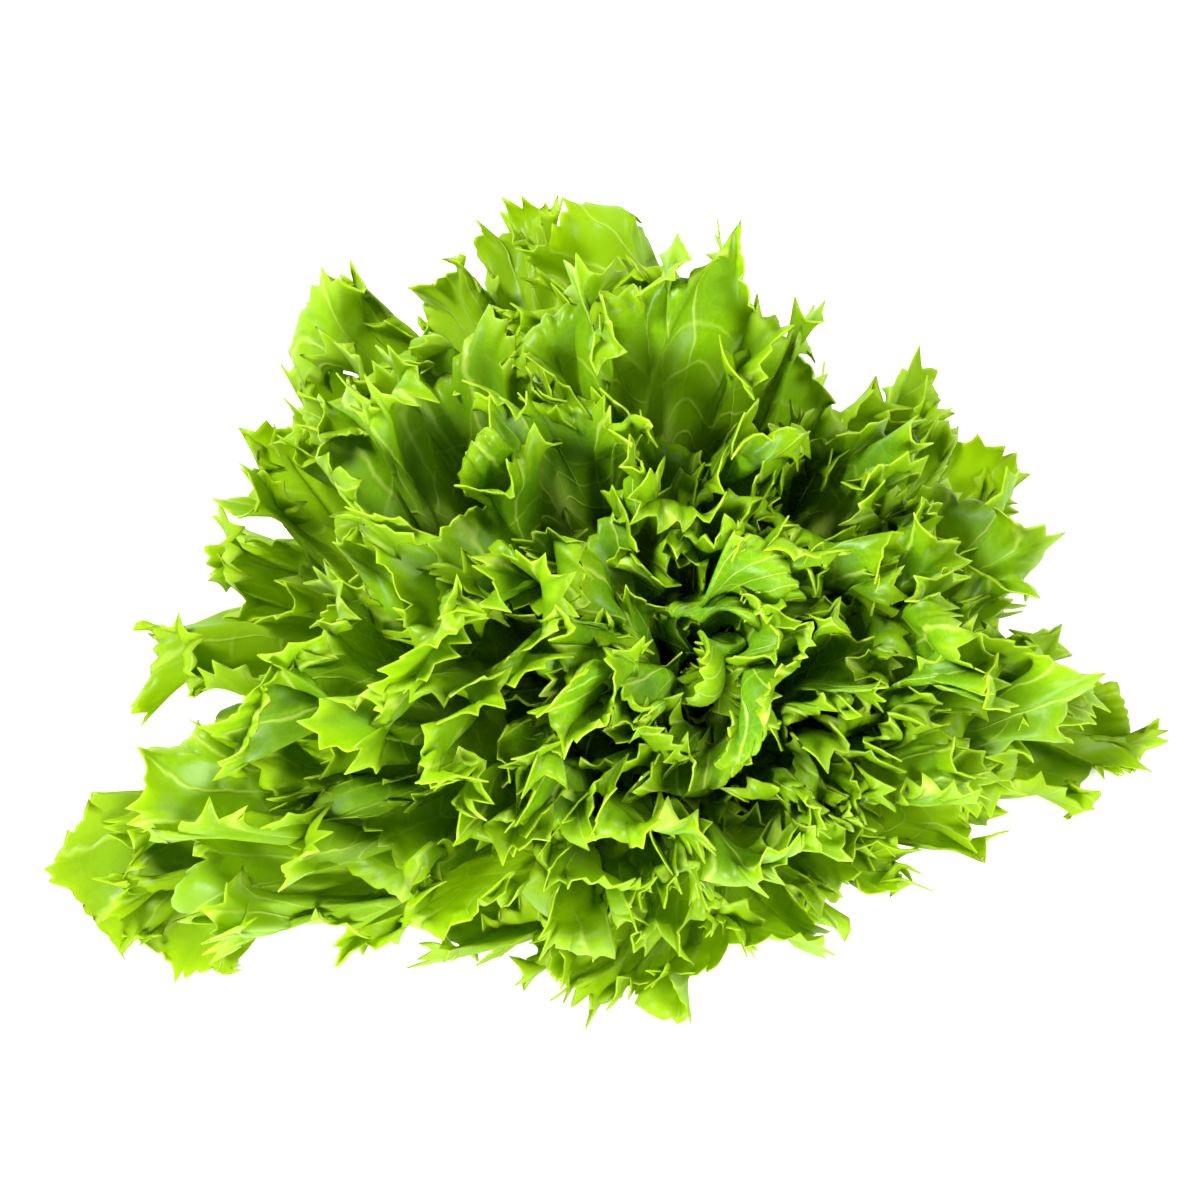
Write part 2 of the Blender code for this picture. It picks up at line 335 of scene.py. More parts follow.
# how long the random curves of a leaf are, in fold pitches
CURVE_LENGTHS = {"drift": 1.2, "pace": 1.9, "bay": 1.5, "swing": 1.1, "slow": 2.4, "stray": 2.8,
                 "twist": 2.4, "crinkle": 1.2, "lean": 1.3}
HABIT_SEED = 500
print("lobes every", round(1000 * LOBE_PITCH), "mm, folds every", round(1000 * FOLD_PITCH[0]), "to",
      round(1000 * FOLD_PITCH[1]), "mm")


# %% One leaf's own habit
class Noise:
    """A slow random curve, between about -1 and 1, that varies over the given length in metres."""

    def __init__(self, rng, length):
        self.pace = rng.uniform(*CURVE_PACE, CURVE_WAVES) * 2 * math.pi / length
        self.start = rng.uniform(0, 2 * math.pi, CURVE_WAVES)

    def __call__(self, place):
        return np.sin(place[..., None] * self.pace + self.start).sum(axis=-1) / math.sqrt(CURVE_WAVES)


def add_habit(leaf):
    """A leaf's own draws: how wide it is, and how its lobes and folds lie."""
    number = int(leaf["name"][-2:])
    rng = np.random.RandomState(HABIT_SEED + number)
    leaf["spread"] *= WIDER[leaf["floor"] is not None]
    kind = leaf["name"].split("_")[0]
    leaf["sides"], leaf["cleft"] = SIDES[kind], CLEFT_DEPTH[kind]
    if leaf["floor"] is None:
        leaf["length"] *= LONGER + LENGTH_UNREST * rng.uniform(-1, 1)
    lean = math.degrees(float(lean_at(leaf["length"], leaf["layer"])))
    mean = FACE_SHARE * (FACE_UP - lean) + FACE_UNREST * rng.uniform(-1, 1)
    leaf["mean"] = min(mean, HEART_CLOSED[0] + HEART_CLOSED[1] * (number - 1))
    bent_lean = math.radians(lean + leaf["mean"] / 2)
    radius = (leaf["length"] - FRILL_LENGTH) * math.sin(math.radians(lean))
    radius += FRILL_LENGTH * math.sin(bent_lean)
    leaf["half_width"] = leaf["spread"] * radius
    wide = min(1.0, radius / WIDE_RADIUS)
    pitch = FOLD_PITCH[0] + (FOLD_PITCH[1] - FOLD_PITCH[0]) * wide
    leaf["fold_pitch"] = pitch * rng.uniform(*PITCH_UNREST)
    leaf["twist"] = TWIST * rng.uniform(-1, 1)
    leaf["lobe_start"], leaf["fold_start"] = rng.uniform(0, 2 * math.pi, 2)
    leaf["noise"] = {name: Noise(rng, length * pitch) for name, length in CURVE_LENGTHS.items()}


for leaf in leaves:
    add_habit(leaf)
widest = max(leaves, key=lambda leaf: leaf["half_width"])
print("the widest leaf is", widest["name"], "at", round(2000 * widest["half_width"]), "mm")


# %% Where the edge and its folds run
LEAST_BEND = 1e-2  # a straight strip is bent this little too, because its formula divides by the bend


def fold_phase(leaf, place):
    """Where in its wave a fold is: 90 degrees is furthest out, 270 furthest in."""
    even = 2 * math.pi * place / leaf["fold_pitch"] + leaf["fold_start"]
    return even + FOLD_DRIFT * leaf["noise"]["pace"](place)


def margin(leaf, place):
    """Where the edge runs at a place along the leaf's width: sideways, outwards, and the lobes' phase."""
    noise, half = leaf["noise"], leaf["half_width"]
    phase = 2 * math.pi * place / LOBE_PITCH + leaf["lobe_start"] + LOBE_DRIFT * noise["drift"](place)
    cleft_phase = 2 * math.pi * place / CLEFT_PITCH + leaf["fold_start"] + noise["twist"](place)
    inside = np.sqrt(np.clip(1 - (place / half) ** 2, 0, 1))
    stray = UNREST * noise["stray"](place) - LOBE_CREST * LOBE_PITCH * np.sin(phase) / (2 * math.pi)
    bay = LOBE_DEPTH * (0.5 + 0.5 * np.cos(phase)) ** BAY_SHARPNESS * (1 + BAY_UNREST * noise["bay"](place))
    cleft = leaf["cleft"] * (0.5 + 0.5 * np.cos(cleft_phase)) ** 2
    shorter, square = leaf["sides"]
    outwards = leaf["length"] - (leaf["length"] - leaf["root"]) * shorter * np.abs(place / half) ** square
    cut = min(1.0, half / LEAST_HALF_WIDTH) * (bay + cleft) * inside
    return stray * inside, outwards - cut, phase


def bent_strip(run, total, turns):
    """How far a strip goes forwards and rises. turns holds, for each bend, its length up to the edge and
    its angle. The longest comes first, and each later one adds to it."""
    lengths = [length for length, _ in turns] + [0.0]
    bend, heading, advance, rise = 0.0, 0.0, 0.0, 0.0
    for number, (length, turn) in enumerate(turns):
        bend = bend + np.radians(turn) / length
        safe = np.where(np.abs(bend) < LEAST_BEND, LEAST_BEND, bend)
        part = np.clip(run - (total - length), 0, length - lengths[number + 1])
        ahead, up = np.sin(safe * part) / safe, (1 - np.cos(safe * part)) / safe
        advance = advance + ahead * np.cos(heading) - up * np.sin(heading)
        rise = rise + ahead * np.sin(heading) + up * np.cos(heading)
        heading = heading + safe * part
    return advance, rise


print("a 10 mm strip that turns by 90 degrees goes forwards and up by",
      *(round(1000 * float(way), 1) for way in bent_strip(0.010, 0.010, ((0.010, 90.0),))), "mm")


# %% The whole blade
STRAY_FROM = 0.55  # where along the leaf the lobes start to stray sideways
STRAY_OVER = 0.45  # and over how much of it they do
STRAY_EASE = 1.3
LEAN_STEP = 1e-5  # a layer's slope is measured over this length


def sideways(leaf, place, along, run, deep, phase, stray):
    """How far a point of the frill lies aside from its place on the leaf."""
    noise, pitch = leaf["noise"], leaf["fold_pitch"]
    stray = stray * np.clip((along - STRAY_FROM) / STRAY_OVER, 0, 1) ** STRAY_EASE
    stray = stray - FOLD_CREST * run / deep * pitch * np.sin(2 * phase) / (4 * math.pi)
    stray = stray + (leaf["twist"] + 0.5 * TWIST * noise["twist"](place)) * run
    folded = np.clip(run - deep + FOLD_LENGTH * pitch, 0, None)
    return stray + LEAN_ASIDE * noise["lean"](place) * folded


def edge_turns(leaf, across, scale, deep, phase, lobe_phase):
    """The bends of the frill at this place: the whole edge, the lobe, the fold and its rim."""
    pitch = leaf["fold_pitch"]
    calm = 1 - FRILL_CALM * across**2
    lobes_turn = LOBE_SWING * np.sin(lobe_phase / 2)
    unrest = 1 + SWING_UNREST * leaf["noise"]["swing"](across * leaf["half_width"])
    swing = FOLD_SWING * np.sin(phase) * unrest
    flare = FLARE_MEAN + FLARE_SWING * np.sin(phase)
    lobe_length = np.minimum(LOBE_LENGTH * scale**1.5, LOBE_MOST * deep)
    return ((deep, leaf["mean"] * calm), (lobe_length, lobes_turn * calm),
            (FOLD_LENGTH * pitch, swing * calm), (FLARE_LENGTH * pitch, flare))


def over_layer(layer, rho, azimuth, advance, rise):
    """The point that lies ahead of and above a place on a layer by these lengths."""
    lean = lean_at(rho, layer) + waves_of_head(azimuth, rho, layer)
    ahead = lean_at(rho + LEAN_STEP, layer) + waves_of_head(azimuth, rho + LEAN_STEP, layer)
    slope = rho * (ahead - lean) / LEAN_STEP
    steep = np.sqrt(1 + slope**2)
    far = rho + (advance - slope * rise) / steep
    turned = (slope * advance + rise) / steep
    radius = far * np.sin(lean) + turned * np.cos(lean)
    height = far * np.cos(lean) - turned * np.sin(lean)
    x = STEM_FOOT[0] + radius * np.cos(azimuth)
    y = STEM_FOOT[1] + squeezed(radius * np.sin(azimuth))
    return np.stack([x, y, height], axis=-1)


def blade(leaf, across, along):
    """A leaf's middle surface without its tips. across runs from -1 to 1, along from 0 to 1 at the edge."""
    layer, noise, half = leaf["layer"], leaf["noise"], leaf["half_width"]
    scale = leaf["length"] / LEAF_REF
    place = across * half
    stray, edge, lobe_phase = margin(leaf, place)
    whole = edge - leaf["root"]
    rho = leaf["root"] + whole * along

    frill = FRILL_LENGTH * scale * (1 + FRILL_UNREST * noise["pace"](place))
    deep = np.minimum(frill, FRILL_MOST * whole)
    run = np.clip(deep - (1 - along) * whole, 0, None)
    phase = fold_phase(leaf, place)
    stray = sideways(leaf, place, along, run, deep, phase, stray)
    opened = np.clip(along / FAN_OPEN, 0, 1)
    width = FAN_ROOT + (1 - FAN_ROOT) * opened**2 * (3 - 2 * opened)
    azimuth = leaf["azimuth"] + leaf["spread"] * width * (across + stray / half)

    advance, rise = bent_strip(run, deep, edge_turns(leaf, across, scale, deep, phase, lobe_phase))
    aged = SLOW_HEART + (1 - SLOW_HEART) * layer
    slow = SLOW_WAVE * scale * aged * noise["slow"](place) * (1 - SLOW_CALM * across**2)
    rise = rise + (slow + CRINKLE * noise["crinkle"](place + CRINKLE_SLANT * rho)) * along**2
    return over_layer(layer, rho, azimuth, advance - run, rise)


middle_line = blade(leaves[0], np.zeros(5), np.linspace(0, 1, 5))
print("the heart's first leaf rises along its middle:", *(round(1000 * z) for z in middle_line[:, 2]), "mm")

# %% [markdown]
# ## Tips along the edge
# The folds make the edge several times as long as the blade behind it. The tips must stand evenly on
# that longer line, so the edge is first laid out and measured, and the columns of the net are spaced by
# its length. Each tip then points square to the edge, a little aside, and curls by its own amount.

# %% Sizes of tips
TIP_PITCH = (0.0040, 0.0065)  # in the narrow heart and in wide leaves
TIP_OUT = (0.0030, 0.0052)
OUT_UNREST = (0.35, 1.3)  # a tip's length, as a share of that
TIP_SHARPNESS = 1.25
TIP_SLANT = 0.45
TIP_CURL = 0.70
CURL_UNREST = (-0.3, 1.2)
TIP_SMALL = 0.0013  # the small teeth between the tips
FRINGE = 0.009  # how far from the edge a tip begins
FRINGE_EASE = 1.3
TIP_SEED = 900
COLUMNS_PER_TIP = 4
EDGE_SAMPLES = 1201


# %% Space the columns
def spaced_columns(leaf):
    """Places across the leaf, spaced evenly along its bent edge, and the number of tips."""
    across = np.linspace(-1, 1, EDGE_SAMPLES)
    edge = blade(leaf, across, np.ones_like(across))
    length = np.concatenate([[0], np.cumsum(np.linalg.norm(np.diff(edge, axis=0), axis=1))])
    pitch = np.interp(leaf["fold_pitch"], FOLD_PITCH, TIP_PITCH)
    tips = 4 * max(1, round(length[-1] / pitch / 4))
    columns = np.linspace(0, length[-1], COLUMNS_PER_TIP * tips + 1)
    return np.interp(columns, length, across), tips


print("the heart's first leaf has", spaced_columns(leaves[0])[1], "tips, the last outer one",
      spaced_columns(leaves[-1])[1])


# %% Pull out the tips
def with_tips(leaf, rows, columns, tips):
    """Pulls the edge out into tips. rows holds the leaf's last rows, all with the same columns."""
    rng = np.random.RandomState(TIP_SEED + int(leaf["name"][-2:]))
    last = rows[-1]
    tangent = np.gradient(last, axis=0)
    tangent /= np.linalg.norm(tangent, axis=1, keepdims=True) + 1e-9
    out = last - rows[-2]
    out = out - (out * tangent).sum(axis=1, keepdims=True) * tangent
    out /= np.linalg.norm(out, axis=1, keepdims=True) + 1e-9
    under = np.cross(tangent, out)

    column = np.arange(len(last))
    tip = np.minimum(column // COLUMNS_PER_TIP, tips - 1)
    share = column / COLUMNS_PER_TIP - tip
    middle = tip * COLUMNS_PER_TIP + COLUMNS_PER_TIP // 2
    slant = TIP_SLANT * rng.uniform(-1, 1, tips)[tip][:, None]
    turned_over = np.sin(fold_phase(leaf, columns * leaf["half_width"]))[middle]
    curl = TIP_CURL * (rng.uniform(*CURL_UNREST, tips)[tip] * turned_over)[:, None]
    most = np.interp(leaf["fold_pitch"], FOLD_PITCH, TIP_OUT)
    shape = (1 - np.abs(2 * share - 1)) ** TIP_SHARPNESS
    reach = most * rng.uniform(*OUT_UNREST, tips)[tip] * shape
    pull = (out + slant * tangent)[middle] + curl * shape[:, None] * under[middle]
    pull = pull * reach[:, None] + out * (TIP_SMALL * rng.uniform(-0.5, 0.5, len(last)))[:, None]

    to_edge = np.zeros(len(last))
    pulled = [last + pull]
    for row, after in zip(rows[-2::-1], rows[:0:-1]):
        to_edge = to_edge + np.linalg.norm(row - after, axis=1)
        pulled.append(row + pull * np.clip(1 - to_edge / FRINGE, 0, 1)[:, None] ** FRINGE_EASE)
    return pulled[::-1]


# %% [markdown]
# ## From rows to a closed shell
# The blade near the stem is smooth and needs few points, and the edge needs many. So the leaf is a stack of
# rows that get closer and double their points twice on the way to the edge. A closed shell with two sides
# and a real thickness looks right from below too, which a bare sheet would not.

# %% Rows of the net
BASE_ROWS = 8
MIDDLE_ROWS = 9
EDGE_ROWS = 8
MIDDLE_FROM = 0.56  # where along the leaf the rows get twice as many points
EDGE_FROM = 0.86  # and where they do so again
EDGE_EASE = 1.25  # above 1, the last rows lie closer at the edge


def leaf_rows():
    """Each row's place along the leaf, and every how many of the edge's columns it has."""
    rows = [(v, 4) for v in np.linspace(0, MIDDLE_FROM, BASE_ROWS)]
    rows += [(v, 2) for v in np.linspace(MIDDLE_FROM, EDGE_FROM, MIDDLE_ROWS + 1)[1:]]
    rest = np.linspace(0, 1, EDGE_ROWS + 1)[1:]
    return rows + [(EDGE_FROM + (1 - EDGE_FROM) * (1 - (1 - s) ** EDGE_EASE), 1) for s in rest]


def row_points(leaf, columns, tips, rows):
    """The points of each row, with the tips pulled out, and laid on the floor where the leaf meets it."""
    points = [blade(leaf, columns[::every], np.full(len(columns[::every]), along)) for along, every in rows]
    points[-EDGE_ROWS:] = with_tips(leaf, points[-EDGE_ROWS:], columns, tips)
    if leaf["floor"] is not None:
        for row in points:
            over = (row[:, 2] - leaf["floor"]) / FLOOR_SOFTNESS
            row[:, 2] = leaf["floor"] + FLOOR_SOFTNESS * np.logaddexp(0, over)
    return points


def row_marks(points, columns, rows):
    """What the finish needs to know of each point: across, along, and how far it is to the edge."""
    marks = []
    to_edge = np.zeros(len(columns))
    for number in range(len(rows) - 1, -1, -1):
        along, every = rows[number]
        if number < len(rows) - 1:
            skip = every // rows[number + 1][1]
            after = points[number + 1][::skip]
            to_edge = to_edge[::skip] + np.linalg.norm(points[number] - after, axis=1)
        count = len(points[number])
        marks.append(np.stack([columns[::every], np.full(count, along), to_edge], axis=-1))
    return marks[::-1]


print(len(leaf_rows()), "rows in a leaf")


# %% Faces of the net
def row_faces(points):
    """The faces between the rows, and the loop of points round the leaf's edge."""
    faces, left, right = [], [], []
    start = 0
    for number, row in enumerate(points):
        if number:
            low, count = left[-1], right[-1] - left[-1]
            if count == len(row) - 1:
                faces += [(low + c, low + c + 1, start + c + 1, start + c) for c in range(count)]
            else:
                for c in range(count):
                    a, b = low + c, low + c + 1
                    d, e, f = (start + 2 * c + extra for extra in range(3))
                    faces += [(a, b, e), (a, e, d), (b, f, e)]
        left.append(start)
        right.append(start + len(row) - 1)
        start += len(row)
    first = list(range(left[0], right[0] + 1))
    last = list(range(left[-1], right[-1] + 1))
    return faces, first + right[1:] + last[::-1][1:] + left[::-1][1:-1]


def leaf_net(leaf):
    """Points, marks and faces of the middle surface, and the loop of points round its edge."""
    columns, tips = spaced_columns(leaf)
    rows = leaf_rows()
    points = row_points(leaf, columns, tips, rows)
    marks = row_marks(points, columns, rows)
    faces, loop = row_faces(points)
    return np.concatenate(points), np.concatenate(marks), faces, loop


print("the heart's first leaf has", len(leaf_net(leaves[0])[2]), "faces on each side")

# %% Thickness and mesh
EDGE_THICKNESS = 0.00045
BLADE_THICKER = 0.0003  # this much more at the stem
RIB_THICKER = 0.0016  # and this much more along the rib there
RIB_WIDTH = 0.10  # as a share of the leaf's half width
RIB_END = 0.8  # where along the leaf the rib has run out


def face_normals(points, faces):
    """A smooth normal at each point."""
    normals = np.zeros_like(points)
    for size in (3, 4):
        group = np.array([face for face in faces if len(face) == size])
        if len(group) == 0:
            continue
        corners = [points[group[:, corner]] for corner in range(size)]
        if size == 3:
            square = np.cross(corners[1] - corners[0], corners[2] - corners[0])
        else:
            square = np.cross(corners[2] - corners[0], corners[3] - corners[1])
        for corner in range(size):
            np.add.at(normals, group[:, corner], square)
    lengths = np.linalg.norm(normals, axis=1, keepdims=True)
    return normals / np.maximum(lengths, 1e-12)


def thickness_at(marks):
    """Thick and ribbed near the stem, half a millimetre at the edge."""
    across, along = marks[:, 0], marks[:, 1]
    rib = np.exp(-((across / RIB_WIDTH) ** 2)) * (1 - np.clip(along / RIB_END, 0, 1)) ** 1.5
    return EDGE_THICKNESS + BLADE_THICKER * (1 - along) + RIB_THICKER * rib


def leaf_mesh(leaf):
    """The leaf as a closed shell, with its marks as an attribute that the finish reads."""
    points, marks, faces, loop = leaf_net(leaf)
    normals = face_normals(points, faces)
    half = thickness_at(marks)[:, None] / 2
    count = len(points)
    skin = np.concatenate([points + normals * half, points - normals * half])
    skin[:, 2] = np.maximum(skin[:, 2], 0.0)
    all_faces = list(faces) + [tuple(count + corner for corner in face[::-1]) for face in faces]
    for here, after in zip(loop, loop[1:] + loop[:1]):
        all_faces.append((after, here, count + here, count + after))
    mesh = bpy.data.meshes.new(leaf["name"] + "_frilled")
    mesh.from_pydata(skin.tolist(), [], all_faces)
    attribute = mesh.attributes.new("leaf_place", "FLOAT_VECTOR", "POINT")
    attribute.data.foreach_set("vector", np.concatenate([marks, marks]).astype(np.float32).ravel())
    mesh.shade_smooth()
    mesh.update()
    return mesh


# %% [markdown]
# ## Shader maths in plain Python
# Materials are graphs of nodes. This small class wraps one socket, so that a mask can be written as a
# sum and not as a chain of boxes: an operator adds its own Math node and returns the result's socket.

# %% A socket that does sums
class Value:
    """A socket in a material's graph, with arithmetic."""

    def __init__(self, finish, socket):
        self.finish = finish
        self.socket = socket

    def sum_of(self, operation, *others):
        inputs = dict(enumerate(others))
        return self.finish.node("ShaderNodeMath", {"operation": operation}, inputs)

    def __add__(self, other):
        return self.sum_of("ADD", self, other)

    def __radd__(self, other):
        return self.sum_of("ADD", other, self)

    def __sub__(self, other):
        return self.sum_of("SUBTRACT", self, other)

    def __rsub__(self, other):
        return self.sum_of("SUBTRACT", other, self)

    def __mul__(self, other):
        return self.sum_of("MULTIPLY", self, other)

    def __rmul__(self, other):
        return self.sum_of("MULTIPLY", other, self)

    def absolute(self):
        return self.sum_of("ABSOLUTE", self)

    def fraction(self):
        return self.sum_of("FRACT", self)

    def ramp(self, low, high, start=0.0, end=1.0):
        """Goes from start to end while this value goes from low to high, and stays there."""
        return self.finish.node(
            "ShaderNodeMapRange", {"clamp": True, "interpolation_type": "SMOOTHSTEP"},
            {"Value": self, "From Min": low, "From Max": high, "To Min": start, "To Max": end})


class Finish:
    """A material under construction."""

    def __init__(self, name):
        self.material = bpy.data.materials.new(name)
        self.material.use_nodes = True
        self.tree = self.material.node_tree
        self.tree.nodes.clear()
        self.output = self.tree.nodes.new("ShaderNodeOutputMaterial")

    def node(self, kind, settings=None, inputs=None, output=0):
        """Adds a node: its settings first, then its sockets by name or number."""
        made = self.tree.nodes.new(kind)
        for key, value in (settings or {}).items():
            setattr(made, key, value)
        for key, value in (inputs or {}).items():
            if isinstance(value, Value):
                self.tree.links.new(value.socket, made.inputs[key])
            else:
                made.inputs[key].default_value = value
        return Value(self, made.outputs[output])

    def parts(self, vector):
        """The three numbers of a vector."""
        split = self.node("ShaderNodeSeparateXYZ", {}, {0: vector})
        return [Value(self, output) for output in split.socket.node.outputs]

    def mix(self, share, first, second):
        """Colours: first where share is 0, second where it is 1."""
        return self.node("ShaderNodeMix", {"data_type": "RGBA"}, {0: share, 6: first, 7: second}, output=2)

    def close(self, shader):
        """Makes this shader the material's surface."""
        self.tree.links.new(shader.socket, self.output.inputs["Surface"])
        return self.material


# %% [markdown]
# ## The leaf's finish
# Fresh lettuce shines a little and lets light through. It is darkest in the blade, yellower towards the
# edge, and almost white along the rib and near the stem. Fine veins run from the rib towards the edge, and
# where the frills begin they run straight on as a fan. A Principled shader gives the colour and the gloss,
# and a Translucent shader mixed with it gives the glow of a leaf with light behind it. The masks come from
# the marks on the mesh and from noise, so they keep their place on the leaf from every side.

# %% Colours of the leaf
DEEP_GREEN = (0.045, 0.175, 0.001, 1)
MID_GREEN = (0.118, 0.300, 0.001, 1)
# a yellow green: the leaf's own colour towards its edge, and a paler colour painted on the outer leaves as
# painted backlight
YELLOW_EDGE_AND_BACKLIT_GREEN = (0.355, 0.540, 0.003, 1)
# the colour of the finest veins, and of the thin painted highlight along the leaf's rim
VEIN_NET_AND_RIM_HIGHLIGHT_GREEN = (0.500, 0.660, 0.030, 1)
PALE_GREEN = (0.600, 0.730, 0.120, 1)
GLOW_GREEN = (0.460, 0.640, 0.002, 1)

PATCH_SCALE = 15.0  # broad lighter and darker patches of the blade
CLOUD_SCALE = 42.0
GRAIN_SCALE = 420.0
NET_SCALE = 400.0  # the finest veins, as cells of about 2.5 mm
SIDE_VEINS = 11  # along the leaf
VEIN_SLANT = 0.45
FAN_VEINS = 15  # across half the leaf
LINE_FROM = 0.84  # a vein is as wide as what is left from here to 1
# the painted rim highlight starts this far from the edge and is full at that far
RIM_HIGHLIGHT_WIDTH = (0.0007, 0.0001)
YOUNG_WIDTH = 0.012  # how far from the edge the yellower green begins

# how strongly each of them shows, from 0 to 1
EDGE_YOUNG = 0.30
# the paler colour painted on the outer leaves as painted backlight
BACKLIGHT_PALENESS_SHOWS = 0.55
NET_SHOWS = 0.10
VEINS_SHOW = 0.55
FAN_SHOWS = 0.40
BASE_SHOWS = 0.85
RIB_SHOWS = 0.80
# the painted highlight along the rim
RIM_HIGHLIGHT_SHOWS = 0.35
print("a leaf has", SIDE_VEINS, "side veins and", 2 * FAN_VEINS, "veins in its fan")


# %% The leaf's material
def lines(value):
    """Thin lines, one for each whole number that the value passes."""
    return ((value.fraction() - 0.5).absolute() * 2.0).ramp(LINE_FROM, 1.0)


def clouds(finish, scale, detail):
    """Soft spots that keep their place on the head; scale is how many there are in a metre."""
    where = finish.node("ShaderNodeTexCoord", {}, output=3)
    return finish.node("ShaderNodeTexNoise", {}, {"Vector": where, "Scale": scale, "Detail": detail})


def leaf_veins(across, along, cloud):
    """Masks for the side veins, the fan of veins in the frills, and the rib."""
    side = across.absolute()
    vein = lines((along - VEIN_SLANT * side) * SIDE_VEINS + cloud * 0.7) * side.ramp(0.0, 0.06)
    fan = lines(across * FAN_VEINS + cloud * 1.1) * along.ramp(0.55, 0.85)
    rib = side.ramp(0.10, 0.01) * along.ramp(0.92, 0.25)
    return vein * along.ramp(0.98, 0.60), fan, rib


def finest_net(finish):
    """A mask for the smallest veins, which close into cells."""
    where = finish.node("ShaderNodeTexCoord", {}, output=3)
    cells = finish.node(
        "ShaderNodeTexVoronoi", {"feature": "DISTANCE_TO_EDGE"}, {"Vector": where, "Scale": NET_SCALE})
    return cells.ramp(0.10, 0.0)


def leaf_finish(name, backlight_paleness, glow):
    """backlight_paleness runs from 0, deep green, to 1, yellow-green: a paler colour painted on the outer
    leaves as painted backlight; glow is how much light passes through.
    """
    finish = Finish(name)
    place = finish.node("ShaderNodeAttribute", {"attribute_name": "leaf_place"}, output=1)
    across, along, to_edge = finish.parts(place)
    cloud = clouds(finish, CLOUD_SCALE, 3.0)
    patch = clouds(finish, PATCH_SCALE, 1.0)
    vein, fan, rib = leaf_veins(across, along, cloud)

    colour = finish.mix((cloud * 0.6 + patch * 0.7).ramp(0.45, 0.88), DEEP_GREEN, MID_GREEN)
    # yellower towards the edge, and paler on the outer leaves as painted backlight
    yellow = to_edge.ramp(YOUNG_WIDTH, 0.0) * EDGE_YOUNG + BACKLIGHT_PALENESS_SHOWS * backlight_paleness
    colour = finish.mix(yellow, colour, YELLOW_EDGE_AND_BACKLIT_GREEN)
    # the finest veins, in the same green as the painted rim highlight
    colour = finish.mix(finest_net(finish) * NET_SHOWS, colour, VEIN_NET_AND_RIM_HIGHLIGHT_GREEN)
    colour = finish.mix(vein * VEINS_SHOW + fan * FAN_SHOWS, colour, PALE_GREEN)
    colour = finish.mix(along.ramp(0.62, 0.18) * BASE_SHOWS, colour, PALE_GREEN)
    colour = finish.mix(rib * RIB_SHOWS, colour, PALE_GREEN)
    # a thin painted highlight along the very edge, standing in for the light that the rim catches
    colour = finish.mix(to_edge.ramp(*RIM_HIGHLIGHT_WIDTH) * RIM_HIGHLIGHT_SHOWS, colour, VEIN_NET_AND_RIM_HIGHLIGHT_GREEN)

    roughness = cloud.ramp(0.3, 0.75, 0.30, 0.44) + clouds(finish, GRAIN_SCALE, 2.0) * 0.08
    relief = vein * 0.5 + fan * 0.4 + rib * 0.8 + cloud * 1.6
    bump = finish.node(
        "ShaderNodeBump", {}, {"Strength": 0.5, "Distance": 0.0010, "Height": relief})
    skin = finish.node("ShaderNodeBsdfPrincipled", {}, {
        "Base Color": colour, "Roughness": roughness, "Normal": bump, "Specular IOR Level": 0.19})
    light = finish.node("ShaderNodeBsdfTranslucent", {}, {"Color": GLOW_GREEN})
    both = finish.node("ShaderNodeMixShader", {}, {0: glow, 1: skin, 2: light})
    return finish.close(both)


# %% [markdown]
# ## Dress the leaves
# Each frilled leaf takes the place of its plain one. In the photograph the outer leaves are the lightest
# and let the most light through, so the finish comes in steps from the heart to the outer leaves: more
# light passes through each, and its colour is painted paler and yellower as painted backlight.

# %% Finishes from the heart outwards
FINISH_STEPS = 5
# the rise in paleness from the heart outwards is painted backlight
PAINTED_BACKLIGHT_PALENESS = (0.15, 1.0)  # how yellow-green the heart and the outermost leaves are
GLOW = (0.18, 0.54)

finishes = []
for step in range(FINISH_STEPS):
    age = step / (FINISH_STEPS - 1)
    backlight_paleness = PAINTED_BACKLIGHT_PALENESS[0] + (PAINTED_BACKLIGHT_PALENESS[1] - PAINTED_BACKLIGHT_PALENESS[0]) * age**2
    glow = GLOW[0] + (GLOW[1] - GLOW[0]) * age
    finishes.append(leaf_finish(f"lettuce_leaf_{step + 1}", backlight_paleness, glow))
print(len(finishes), "finishes")

triangles = 0
for leaf in leaves:
    mesh = leaf_mesh(leaf)
    piece = bpy.data.objects.new(leaf["name"] + "_frilled", mesh)
    bpy.context.scene.collection.objects.link(piece)
    mesh.materials.append(finishes[min(FINISH_STEPS - 1, int(leaf["layer"] * FINISH_STEPS))])
    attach(piece, "root")
    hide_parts(leaf["name"])
    triangles += sum(len(polygon.vertices) - 2 for polygon in mesh.polygons)
print("leaves done,", triangles, "triangles")

# %% [markdown]
# ## The stem
# The stem is hidden under the leaves, but it shows from below: pale, juicy, and a little brown where the
# knife went through.

# %% Stem finish
STEM_PALE = (0.62, 0.68, 0.36, 1)
STEM_CREAM = (0.80, 0.78, 0.55, 1)
STEM_BROWN = (0.42, 0.22, 0.08, 1)
STEM_CLOUD_SCALE = 90.0
CUT_DEPTH = 0.0015  # how far up from the cut the brown reaches


def stem_finish():
    """Pale and cream in clouds, brown at the cut."""
    finish = Finish("cut_stem")
    height = finish.parts(finish.node("ShaderNodeTexCoord", {}, output=3))[2]
    cloud = clouds(finish, STEM_CLOUD_SCALE, 4.0)
    cut = height.ramp(CUT_DEPTH, 0.0)
    colour = finish.mix(cloud.ramp(0.35, 0.65), STEM_PALE, STEM_CREAM)
    colour = finish.mix(cut * cloud.ramp(0.35, 0.7), colour, STEM_BROWN)
    bump = finish.node("ShaderNodeBump", {}, {"Strength": 0.4, "Distance": 0.0006, "Height": cloud})
    skin = finish.node("ShaderNodeBsdfPrincipled", {}, {
        "Base Color": colour, "Roughness": cloud.ramp(0.3, 0.7, 0.35, 0.55), "Normal": bump})
    return finish.close(skin)


stem = bpy.data.objects["stem"]
for slot in stem.material_slots:
    slot.material = stem_finish()
print("stem dressed")

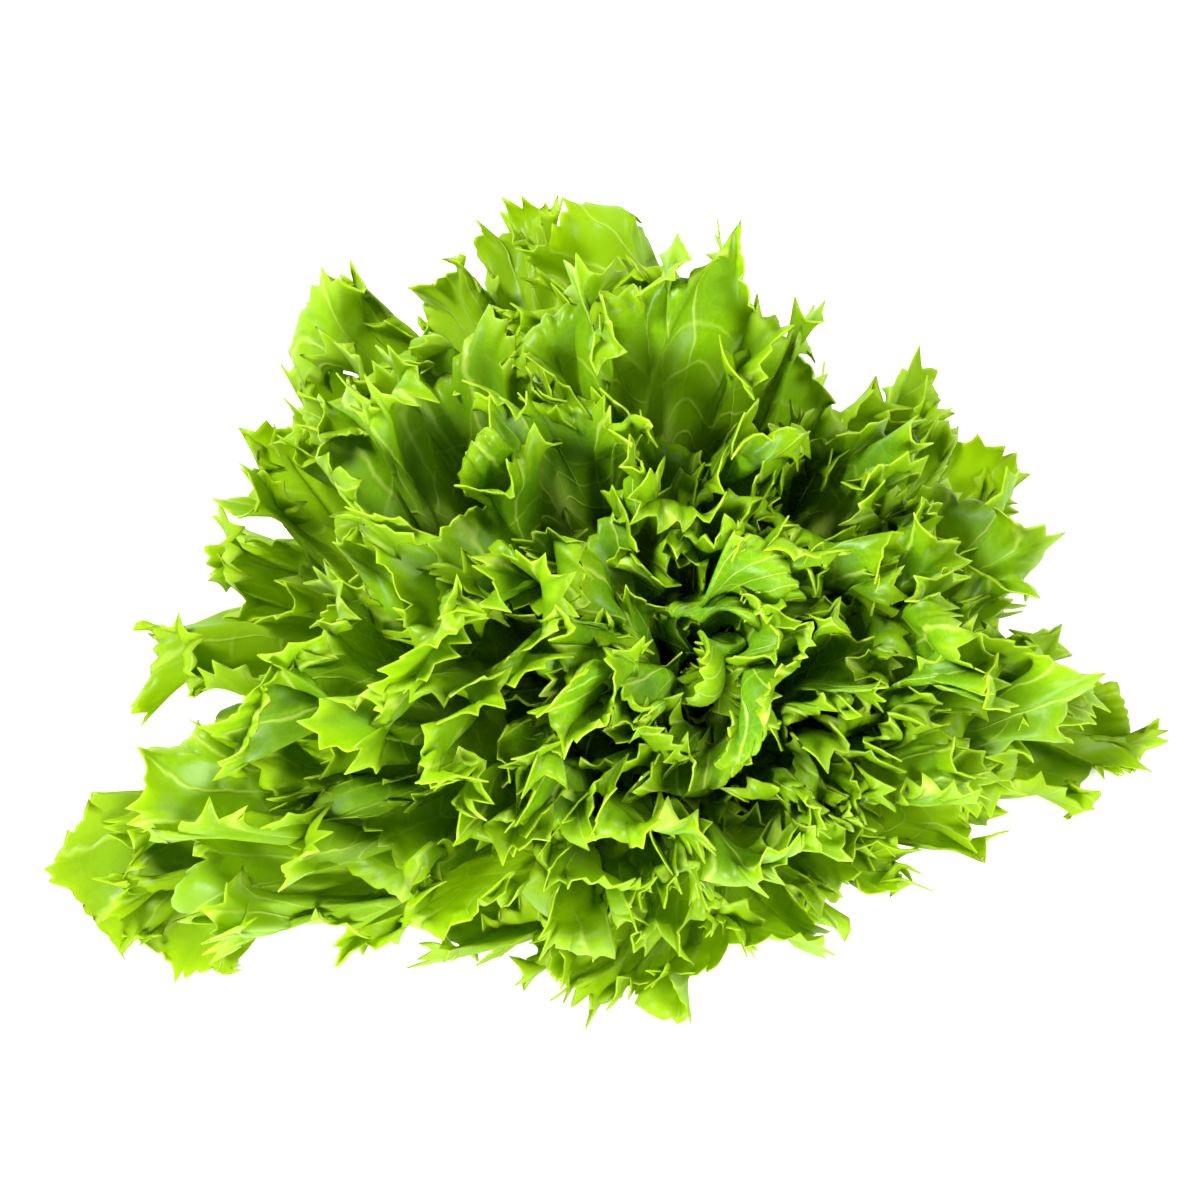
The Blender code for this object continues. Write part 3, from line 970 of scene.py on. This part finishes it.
# %% [markdown]
# ## Floor and light
# The photograph is a cut-out on white, lit softly from all sides. A pale floor under large soft lamps gives
# the same, and the dark hollows between the frills come from the leaves shading each other.

# %% Floor
FLOOR_SIZE = 8
FLOOR_DROP = 0.0005  # just under the leaves, so that the two surfaces don't flicker
FLOOR_WHITE = (0.93, 0.93, 0.93, 1)
FLOOR_CLOUD_SCALE = 3.0


def floor_finish():
    """Plain and matt."""
    finish = Finish("pale_floor")
    cloud = clouds(finish, FLOOR_CLOUD_SCALE, 2.0)
    skin = finish.node("ShaderNodeBsdfPrincipled", {}, {
        "Base Color": FLOOR_WHITE, "Roughness": cloud.ramp(0.2, 0.8, 0.75, 0.85)})
    return finish.close(skin)


bpy.ops.mesh.primitive_plane_add(size=FLOOR_SIZE, location=(0, 0, -FLOOR_DROP))
floor = bpy.context.object
floor.name = "floor"
floor.data.materials.append(floor_finish())
print("floor laid")

# %% Lamps
# name, place, power in watts, side in metres
LAMPS = (
    ("key_light", (-0.9, 0.6, 1.0), 49, 0.4),
    ("fill_light", (1.0, 0.0, 0.9), 25, 0.6),
    ("front_light", (-0.25, -1.1, 0.55), 34, 0.5),
)
ROOM_LIGHT = 0.22


def soft_lamp(name, place, power, size):
    """A square lamp that is aimed at what the camera is aimed at."""
    lamp = bpy.data.objects.new(name, bpy.data.lights.new(name, "AREA"))
    lamp.data.energy = power
    lamp.data.size = size
    lamp.location = place
    aim = np.array(CAMERA_AIM) - np.array(place)
    lamp.rotation_euler = (
        math.atan2(math.hypot(aim[0], aim[1]), -aim[2]), 0, math.atan2(aim[1], aim[0]) - math.pi / 2)
    bpy.context.scene.collection.objects.link(lamp)


for lamp_sizes in LAMPS:
    soft_lamp(*lamp_sizes)

world = bpy.data.worlds.new("white_room")
world.use_nodes = True
world.node_tree.nodes["Background"].inputs["Color"].default_value = (1, 1, 1, 1)
world.node_tree.nodes["Background"].inputs["Strength"].default_value = ROOM_LIGHT
bpy.context.scene.world = world
bpy.context.scene.view_settings.view_transform = "Standard"
print(len(LAMPS), "lamps lit")
